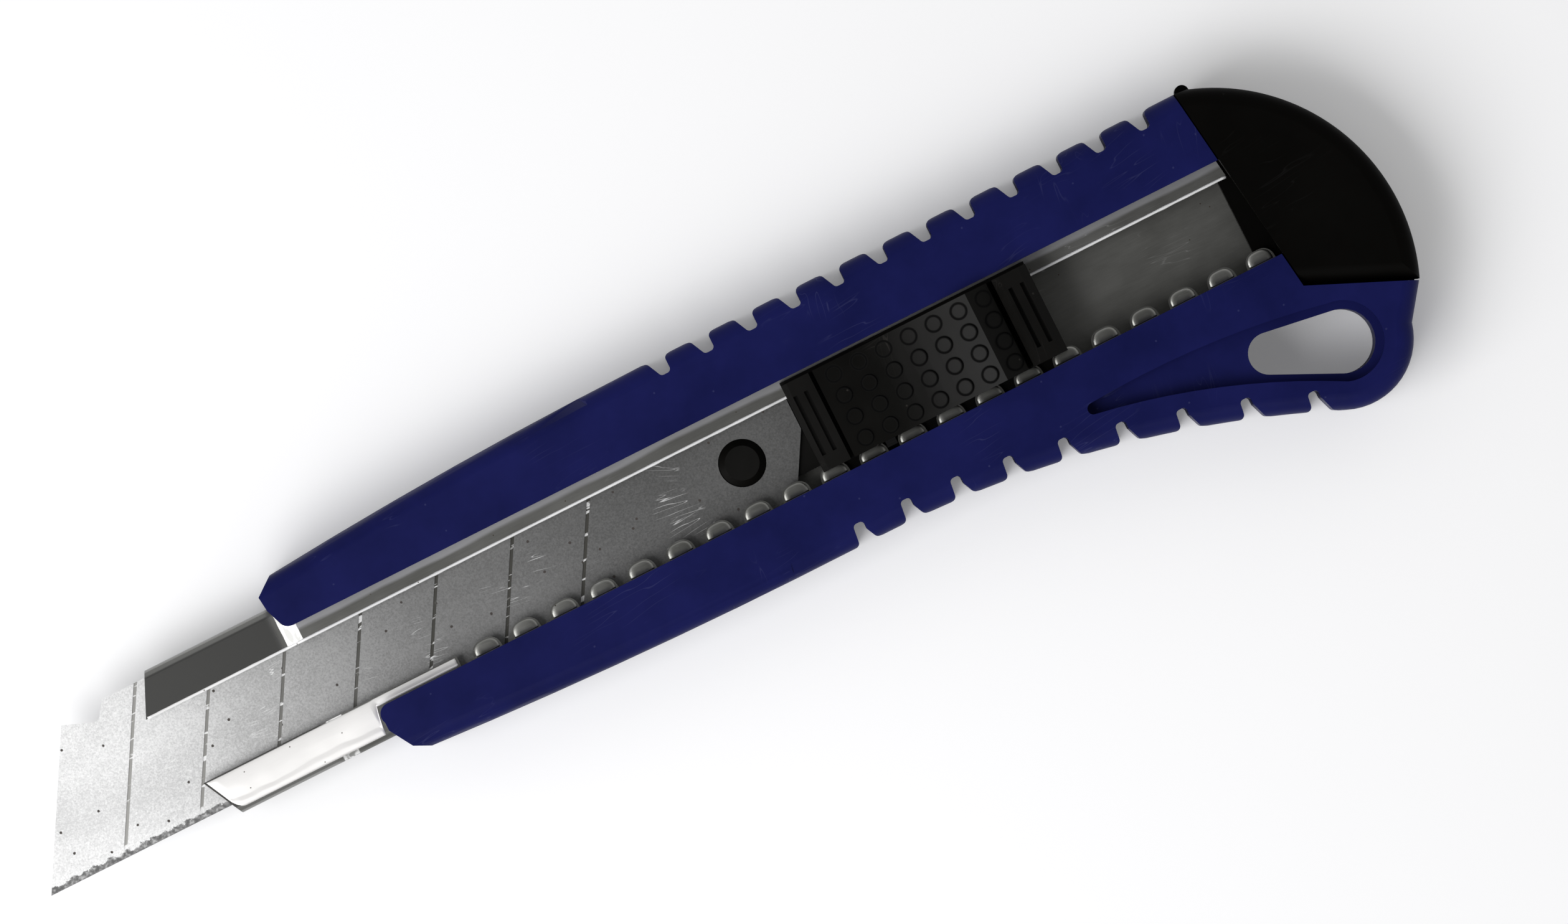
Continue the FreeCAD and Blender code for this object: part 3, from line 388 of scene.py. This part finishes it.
def sheet_steel(name, pale, dark, roughness, metallic=1.0):
    """Rolled sheet: a fine grain along it, dull smudges, small spots and long scratches."""
    material, shader = new_material(name)
    shader.inputs["Metallic"].default_value = metallic
    grain = noise(material, place_texture(material, (0.05, 1.0, 1.0)), scale=6.0, detail=3.0)
    smudged = place_texture(material, (0.5, 1.0, 1.0))
    smudge = noise(material, smudged, scale=0.16, detail=5.0, roughness=0.62)
    smudge_part = calculate(material, "MULTIPLY", smudge, 0.75)
    tone = calculate(material, "MULTIPLY_ADD", grain, 0.25, smudge_part)
    colour = mix_colour(material, ramp(material, tone, [(0.38, 0.0), (0.62, 1.0)]), dark, pale)
    lines = scratches(material, (0.08, 1.0, 1.0), scale=1.4, width=0.012, turn=4, coverage=0.5)
    colour = mix_colour(material, calculate(material, "MULTIPLY", lines, 0.2), colour, (0.9, 0.9, 0.9))
    spots = specks(material, spacing=3.2, size=0.03, share=0.3)
    colour = mix_colour(material, spots, colour, (0.09, 0.075, 0.06))
    link(material, colour, shader.inputs["Base Color"])
    smooth, rough = roughness
    smudged_roughness = ramp(material, smudge, [(0.35, smooth), (0.65, rough)])
    link(material, smudged_roughness, shader.inputs["Roughness"])
    add_bump(material, shader, grain, distance=0.003 * MM, strength=0.5)
    return material, shader


def step_highlight_streaks(material, x):
    """1 on the painted highlight streaks of the step behind the nose, and 0 on the flat sheet."""
    soft = 0.1
    before_end = step_up(material, x, STEP_END + soft, STEP_END - soft)
    after_start = step_up(material, x, STEP_START - soft, STEP_START + soft)
    on_step = calculate(material, "MULTIPLY", after_start, before_end)
    streaks = noise(material, place_texture(material, (1.0, 0.3, 1.0)), scale=1.3, detail=2.0)
    return calculate(material, "MULTIPLY", on_step, ramp(material, streaks, [(0.42, 0.25), (0.56, 1.0)]))


def highlight_band(material, y, z):
    """1 on the painted highlight, a ragged band along the outer part of the upper lip's top."""
    ragged = noise(material, place_texture(material, (0.15, 1.0, 1.0)), scale=0.5, detail=3.0)
    reach = calculate(material, "ADD", ragged, y)
    outer = step_up(material, reach, *HIGHLIGHT_BAND_REACH)
    on_top = step_up(material, z, LIP_TOP - 0.2, LIP_TOP - 0.05)
    return calculate(material, "MULTIPLY", outer, on_top)


def channel_sheet():
    """Sheet of the channel: its stepped-down front is polished; painted highlights lie on its step and
    along its upper lip.
    """
    material, shader = sheet_steel(
        "channel_steel", pale=(0.19, 0.19, 0.18), dark=(0.155, 0.155, 0.145), roughness=(0.4, 0.46))
    x, y, z = axes(material)
    front = step_up(material, x, *NOSE_POLISH)
    colour = mix_colour(material, front, feeding(shader, "Base Color"), (0.28, 0.28, 0.27))
    # Painted highlight: near-white streaks on the step stand in for its reflection of the lamp.
    colour = mix_colour(material, step_highlight_streaks(material, x), colour, (0.95, 0.95, 0.94))
    # Painted highlight band along the outer part of the upper lip.
    colour = mix_colour(material, highlight_band(material, y, z), colour, (0.42, 0.42, 0.43))
    link(material, colour, shader.inputs["Base Color"])
    polish = mix_colour(material, front, feeding(shader, "Roughness"), (0.22, 0.22, 0.22))
    link(material, polish, shader.inputs["Roughness"])
    return material


def score_lines(material, y, z):
    """1 in the score grooves, which lie just below the blade's top and end short of its edge."""
    near, far = 0.02, 0.05
    bevel_end = CUTTING_EDGE + BEVEL_WIDTH
    groove_floor = BLADE_TOP - SCORE_DEPTH
    below_top = step_up(material, z, BLADE_TOP - near, BLADE_TOP - far)
    above_floor = step_up(material, z, groove_floor - far, groove_floor - near)
    short = step_up(material, y, bevel_end, bevel_end + 0.2)
    return calculate(material, "MULTIPLY", calculate(material, "MULTIPLY", below_top, above_floor), short)


def groove_colour(material, light_falloff):
    """Dark colour of the score grooves, painted paler near the tip as light falloff, with painted glints in
    places.
    """
    # Painted light falloff: the grooves are painted paler near the tip.
    dark = mix_colour(material, light_falloff, (0.4, 0.395, 0.38), (0.09, 0.088, 0.08))
    breaks = noise(material, place_texture(material, (0.3, 1.4, 1.0)), scale=1.1, detail=2.0)
    # Painted glints where the grooves catch the light.
    glints = ramp(material, breaks, [(0.6, 0.0), (0.65, 1.0)])
    return mix_colour(material, glints, dark, (0.9, 0.9, 0.9))


def ground_colour(material, x, speckle, light_falloff):
    """Speckled and scratched grinding, with painted light falloff and painted shade that darken it from the
    tip to the stud.
    """
    cloud = noise(material, place_texture(material, (0.4, 1.0, 1.0)), scale=0.12, detail=4.0)
    cloud_part = calculate(material, "MULTIPLY", cloud, 0.4)
    tone = calculate(material, "MULTIPLY_ADD", speckle, 0.6, cloud_part)
    colour = ramp(material, tone, [(0.38, 0.68), (0.5, 0.84), (0.62, 1.0)])
    # Painted light falloff and painted shade darken the grinding from the tip to the stud.
    rear = step_up(material, x, *BLADE_REAR_SHADE)
    shade = calculate(material, "MULTIPLY_ADD", rear, 0.12, calculate(material, "MULTIPLY", light_falloff, 0.7))
    colour = mix_colour(material, shade, colour, (0.02, 0.02, 0.018))
    for turn, coverage in ((8, 0.6), (-4, 0.62), (27, 0.66)):
        lines = scratches(material, (0.07, 1.0, 1.0), 1.6, 0.016, turn, patch=0.16, coverage=coverage)
        colour = mix_colour(material, lines, colour, (1.0, 1.0, 1.0))
    return colour


def wear_edge(material, y, where, colour):
    """The colour with the blotched wear along the cutting edge, which has a ragged border."""
    ragged = noise(material, where, scale=0.9, detail=4.0, roughness=0.65)
    depth = calculate(material, "MULTIPLY_ADD", ragged, WEAR_DEPTH, CUTTING_EDGE + WEAR_SHIFT)
    worn = step_up(material, calculate(material, "SUBTRACT", depth, y), -0.06, 0.1)
    blotch = noise(material, where, scale=2.2, detail=3.0)
    worn_colour = ramp(material, blotch, [(0.4, 0.13), (0.55, 0.26), (0.68, 0.5)])
    return mix_colour(material, worn, colour, worn_colour)


def blade_steel():
    """Ground blade: speckled, scratched and spotted, with dark score lines and a ragged edge."""
    material, shader = new_material("blade_steel")
    x, y, z = axes(material)
    where = place_texture(material)
    speckle = noise(material, where, scale=5.0, detail=2.0, roughness=0.7)
    # Painted light falloff along the blade: 0 at the tip, 1 towards the stud.
    light_falloff = step_up(material, x, *BLADE_LIGHT_FALLOFF)
    rust = specks(material, spacing=4.0, size=0.05, share=0.45)
    colour = ground_colour(material, x, speckle, light_falloff)
    colour = mix_colour(material, rust, colour, (0.06, 0.05, 0.045))
    colour = mix_colour(material, score_lines(material, y, z), colour, groove_colour(material, light_falloff))
    link(material, wear_edge(material, y, where, colour), shader.inputs["Base Color"])
    bevel = step_up(material, y, CUTTING_EDGE + BEVEL_WIDTH + 0.05, CUTTING_EDGE + BEVEL_WIDTH - 0.05)
    dull = calculate(material, "MAXIMUM", rust, bevel)
    frosted = calculate(material, "MULTIPLY", step_up(material, x, *BLADE_FROST), 0.6)
    diffuse = calculate(material, "MAXIMUM", calculate(material, "MULTIPLY", dull, 0.9), frosted)
    link(material, calculate(material, "SUBTRACT", 1.0, diffuse), shader.inputs["Metallic"])
    rough = calculate(material, "MULTIPLY_ADD", speckle, 0.14, 0.38)
    link(material, calculate(material, "MULTIPLY_ADD", dull, 0.3, rough), shader.inputs["Roughness"])
    add_bump(material, shader, speckle, distance=0.004 * MM, strength=0.6)
    return material


def soften(node, width):
    """Merge a CAD node's flat facets, then round its sharp edges a little."""
    flatten = node.modifiers.new("flatten", "DECIMATE")
    flatten.decimate_type = "DISSOLVE"
    flatten.angle_limit = FLAT_ANGLE
    rounding = node.modifiers.new("soft_edges", "BEVEL")
    rounding.width = width
    rounding.segments = ROUNDING_STEPS
    rounding.limit_method = "ANGLE"
    rounding.angle_limit = SHARP_ANGLE
    rounding.harden_normals = True
    return rounding


def paint(piece, *materials):
    piece.data.materials.clear()
    for material in materials:
        piece.data.materials.append(material)


def new_piece(name, build, body, material):
    """Add a piece built in mesh code, riding on a body."""
    mesh = bpy.data.meshes.new(name)
    shape = bmesh.new()
    build(shape)
    bmesh.ops.recalc_face_normals(shape, faces=shape.faces)
    shape.to_mesh(mesh)
    shape.free()
    for polygon in mesh.polygons:
        polygon.use_smooth = True
    piece = bpy.data.objects.new(name, mesh)
    bpy.context.collection.objects.link(piece)
    paint(piece, material)
    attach(piece, body)


def loft(shape, sections):
    """Skin between sections with the same number of points, closed at both ends."""
    rings = [[shape.verts.new(Vector(point) * MM) for point in section] for section in sections]
    for before, after in zip(rings, rings[1:]):
        for i in range(len(before)):
            j = (i + 1) % len(before)
            shape.faces.new((before[i], before[j], after[j], after[i]))
    shape.faces.new(rings[0])
    shape.faces.new(list(reversed(rings[-1])))


def stations(start, end, gap):
    """Places from start to end, about gap apart."""
    count = round((end - start) / gap)
    return [start + (end - start) * i / count for i in range(count + 1)]


def progress(value, low, high):
    """0 up to low, 1 from high on, and straight between."""
    return min(1.0, max(0.0, (value - low) / (high - low)))


def waver(x, pace, lane):
    """Smooth noise along x, between -1 and 1. Each lane has its own."""
    return turbulence.noise(Vector((x * pace, lane, 0.0)))


def lip_height(x):
    """Top of the upper lip at x: it steps down towards the nose."""
    return LIP_TOP - STEP_DROP * (1 - progress(x, STEP_START, STEP_END))


def sheared_edge(shape):
    """Burr that shearing left along the upper lip: a thin, slightly uneven bead."""
    turns = [2 * math.pi * i / BEAD_SIDES for i in range(BEAD_SIDES)]
    y = SLOT_UPPER + BEAD_INSET
    sections = []
    for x in stations(NOSE_FRONT + BEAD_SETBACK, UPPER_LIP_REAR, 0.5):
        radius = BEAD_RADIUS + BEAD_UNEVEN * waver(x, 0.7, 3.1)
        z = lip_height(x) - BEAD_DROP
        sections.append([(x, y + radius * math.cos(a), z + radius * math.sin(a)) for a in turns])
    loft(shape, sections)


def strip_outer(x, under_rail):
    """Outer edge of the folded strip: rounded at its front corner, and drawn in at the rail."""
    open_edge = -SLEEVE_HALF + STRIP_OPEN_MARGIN
    rail_edge = -RAIL_EDGE + STRIP_RAIL_MARGIN
    corner = 1 - progress(x, STRIP_START, STRIP_START + STRIP_CORNER_RUN)
    rounding = STRIP_CORNER_DEPTH * (1 - math.sqrt(1 - corner * corner))
    return open_edge + (rail_edge - open_edge) * under_rail + rounding


def strip_section(x):
    """Section of the folded strip: over its creased crown and back along its underside."""
    under_rail = progress(x, RAIL_TIP + 0.1, RAIL_TIP + 0.3)
    width = strip_outer(x, under_rail) - STRIP_INNER
    slant = STRIP_SLANT * (1 - progress(x, STRIP_START, STRIP_START + STRIP_SLANT_RUN))
    rise = progress(x, STRIP_START, STRIP_START + STRIP_RISE_RUN)
    height = STRIP_LOW_FRONT + (1 - STRIP_LOW_FRONT) * rise - STRIP_RAIL_DIP * under_rail
    wander = STRIP_WANDER * waver(x, 0.3, 7.7)
    profile = [(share + wander * 4 * share * (1 - share), up * height) for share, up in STRIP_CROWN]
    profile += [(share, -STRIP_SUNK) for share in STRIP_UNDERSIDE]
    return [(x - slant * width * share, STRIP_INNER + width * share, LIP_TOP + up) for share, up in profile]


def folded_strip(shape):
    """Front of the lower lip: rolled over at its inner edge, with creases that wander along it."""
    loft(shape, [strip_section(x) for x in stations(STRIP_START, STRIP_END, STRIP_STATION)])


def squared(value):
    """Pushes a cosine or sine outwards, so that the circle they make becomes squarer."""
    return math.copysign(abs(value) ** DOME_SQUARENESS, value)


def lobe_crowns(shape):
    """Low dome on each rounded lobe of the lower lip, cut off straight where the rail covers it."""
    turns = [2 * math.pi * i / DOME_SIDES for i in range(DOME_SIDES)]
    for k in range(LOBE_COUNT):
        middle = FIRST_LOBE + k * LOBE_PITCH
        sections = []
        for share, rise in DOME_RINGS:
            rail_side = -RAIL_EDGE + DOME_RAIL_GAP + DOME_RAIL_SLOPE * (1 - share)
            ring = []
            for a in turns:
                x = middle + LOBE_HALF * share * squared(math.cos(a))
                y = LOBE_MIDDLE + LOBE_DEPTH * share * squared(math.sin(a))
                ring.append((x, max(y, rail_side), LIP_TOP + rise))
            sections.append(ring)
        loft(shape, sections)


def outward(start, end):
    """Unit vector square to the run from start to end, pointing away from the cap."""
    run = (Vector(end) - Vector(start)).normalized()
    return Vector((run.y, -run.x))


def seam_rim(shape):
    """Low rim on the end cap that closes the seam between the cap and the handle."""
    first, second = (outward(start, end) for start, end in zip(CAP_SEAM, CAP_SEAM[1:]))
    mitre = (first + second) / (1 + first.dot(second))
    sections = []
    for corner, out in zip(CAP_SEAM, (first, mitre, second)):
        inside = Vector(corner) - RIM_INSIDE * out
        outside = Vector(corner) + RIM_OUTSIDE * out
        foot = [(*inside, RIM_FOOT), (*outside, RIM_FOOT)]
        top = [(*outside, RIM_TOP), (*inside, RIM_TOP)]
        sections.append(foot + top)
    loft(shape, sections)


def build_camera():
    """Camera straight above the knife, with the photograph's scale at the blade's top."""
    camera = bpy.data.cameras.new("camera")
    camera.sensor_width = SENSOR_WIDTH
    frame_width = PHOTO_WIDTH_PX / PIXELS_PER_MM * MM
    camera.lens = SENSOR_WIDTH * CAMERA_DISTANCE / frame_width
    camera.clip_start = CAMERA_NEAR
    camera.clip_end = CAMERA_FAR
    holder = bpy.data.objects.new("camera", camera)
    holder.location = (*PHOTO_CENTRE, BLADE_TOP * MM + CAMERA_DISTANCE)
    holder.rotation_euler = (0, 0, -KNIFE_TILT)
    bpy.context.collection.objects.link(holder)
    bpy.context.scene.camera = holder


def add_light(name, size, place, power):
    """Lamp with a rectangular face, at a place, facing the origin."""
    light = bpy.data.lights.new(name, "AREA")
    light.shape = "RECTANGLE"
    light.size, light.size_y = size
    light.energy = power
    holder = bpy.data.objects.new(name, light)
    holder.location = place
    holder.rotation_euler = Vector(place).to_track_quat("Z", "Y").to_euler()
    bpy.context.collection.objects.link(holder)


def build_world():
    """Light tent: dim overhead, where the camera looks in, and brighter all round."""
    world = bpy.data.worlds.new("world")
    world.use_nodes = True
    tree = world.node_tree
    background = tree.nodes["Background"]
    background.inputs["Color"].default_value = (1, 1, 1, 1)
    coordinates = tree.nodes.new("ShaderNodeTexCoord")
    split = tree.nodes.new("ShaderNodeSeparateXYZ")
    tree.links.new(coordinates.outputs["Generated"], split.inputs["Vector"])
    fall = tree.nodes.new("ShaderNodeMapRange")
    fall.interpolation_type = "SMOOTHSTEP"
    fall.inputs["From Min"].default_value = OVERHEAD_HEIGHT
    fall.inputs["From Max"].default_value = SIDES_HEIGHT
    fall.inputs["To Min"].default_value = OVERHEAD_GLOW
    fall.inputs["To Max"].default_value = SIDES_GLOW
    tree.links.new(split.outputs["Z"], fall.inputs["Value"])
    path = tree.nodes.new("ShaderNodeLightPath")
    pick = tree.nodes.new("ShaderNodeMix")
    pick.inputs["B"].default_value = BACKDROP_GLOW
    tree.links.new(path.outputs["Is Camera Ray"], pick.inputs["Factor"])
    tree.links.new(fall.outputs["Result"], pick.inputs["A"])
    tree.links.new(pick.outputs["Result"], background.inputs["Strength"])
    bpy.context.scene.world = world


def build_lights():
    add_light("key", KEY_SIZE, KEY_PLACE, KEY_POWER)
    build_world()
    bpy.context.scene.view_settings.view_transform = "Standard"


def build_floor():
    """Pale floor that shows as white where it isn't shaded."""
    mesh = bpy.data.meshes.new("floor")
    shape = bmesh.new()
    bmesh.ops.create_grid(shape, x_segments=1, y_segments=1, size=FLOOR_REACH)
    shape.to_mesh(mesh)
    shape.free()
    floor = bpy.data.objects.new("floor", mesh)
    floor.location.z = -FLOOR_GAP
    bpy.context.collection.objects.link(floor)
    material, shader = new_material("floor_white")
    shader.inputs["Base Color"].default_value = FLOOR_COLOUR
    shader.inputs["Roughness"].default_value = FLOOR_ROUGHNESS
    shader.inputs["Emission Color"].default_value = (1, 1, 1, 1)
    path = add_node(material, "ShaderNodeLightPath")
    glow = calculate(material, "MULTIPLY", path.outputs["Is Camera Ray"], FLOOR_GLOW)
    link(material, glow, shader.inputs["Emission Strength"])
    paint(floor, material)


def dress_nodes(black):
    """Give every solid its material and, but for the blade, soft edges of its own width."""
    slide = slide_plastic()
    spring = sheet_steel(
        "spring_steel", pale=(0.1, 0.1, 0.11), dark=(0.05, 0.05, 0.05), roughness=(0.3, 0.4))[0]
    looks = {
        "handle_shell": (0.45, blue_plastic()),
        "end_cap": (0.35, black),
        "blade_sleeve": (0.25, channel_sheet()),
        "blade_carrier": (0.15, slide),
        # The slide frame's rounded edges take a second material, a painted highlight.
        "slider_frame": (0.15, slide, edge_highlight_plastic()),
        "thumb_button": (0.12, thumb_plastic()),
        "lock_spring": (0.05, spring),
    }
    for name, (width, *materials) in looks.items():
        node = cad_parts[name]
        paint(node, *materials)
        rounding = soften(node, width * MM)
        if len(materials) > 1:
            rounding.material = 1
    paint(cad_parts["snap_blade"], blade_steel())


def add_pieces(black):
    """Add the bead, the folded strip, the domes and the rim, which the solids leave out."""
    # Painted reflection: the folded strip is painted near-white and half diffuse, standing in for the light
    # its rolled surface reflects.
    bright = sheet_steel(
        "painted_reflection_steel", pale=(1.0, 0.985, 0.97), dark=(0.96, 0.945, 0.93), roughness=(0.38, 0.44),
        metallic=0.35)[0]
    # Painted highlight: the bead is painted near-white and mostly diffuse, standing in for the light its
    # edge catches.
    bead_highlight = sheet_steel(
        "cut_edge_painted_highlight", pale=(1.0, 1.0, 1.0), dark=(0.9, 0.9, 0.9), roughness=(0.3, 0.4), metallic=0.1)[0]
    # Painted light: the lobe domes get a lighter copy of the channel's sheet.
    lobe_lit_steel = sheet_steel(
        "lobe_lit_copy_steel", pale=(0.4, 0.4, 0.38), dark=(0.3, 0.3, 0.28), roughness=(0.3, 0.36))[0]
    new_piece("upper_lip_edge", sheared_edge, "handle", bead_highlight)
    new_piece("lower_lip_fold", folded_strip, "handle", bright)
    new_piece("lower_lip_lobes", lobe_crowns, "handle", lobe_lit_steel)
    new_piece("cap_seam_rim", seam_rim, "cap", black)


def dress():
    black = cap_plastic()
    dress_nodes(black)
    add_pieces(black)


build_camera()
build_lights()
build_floor()
dress()
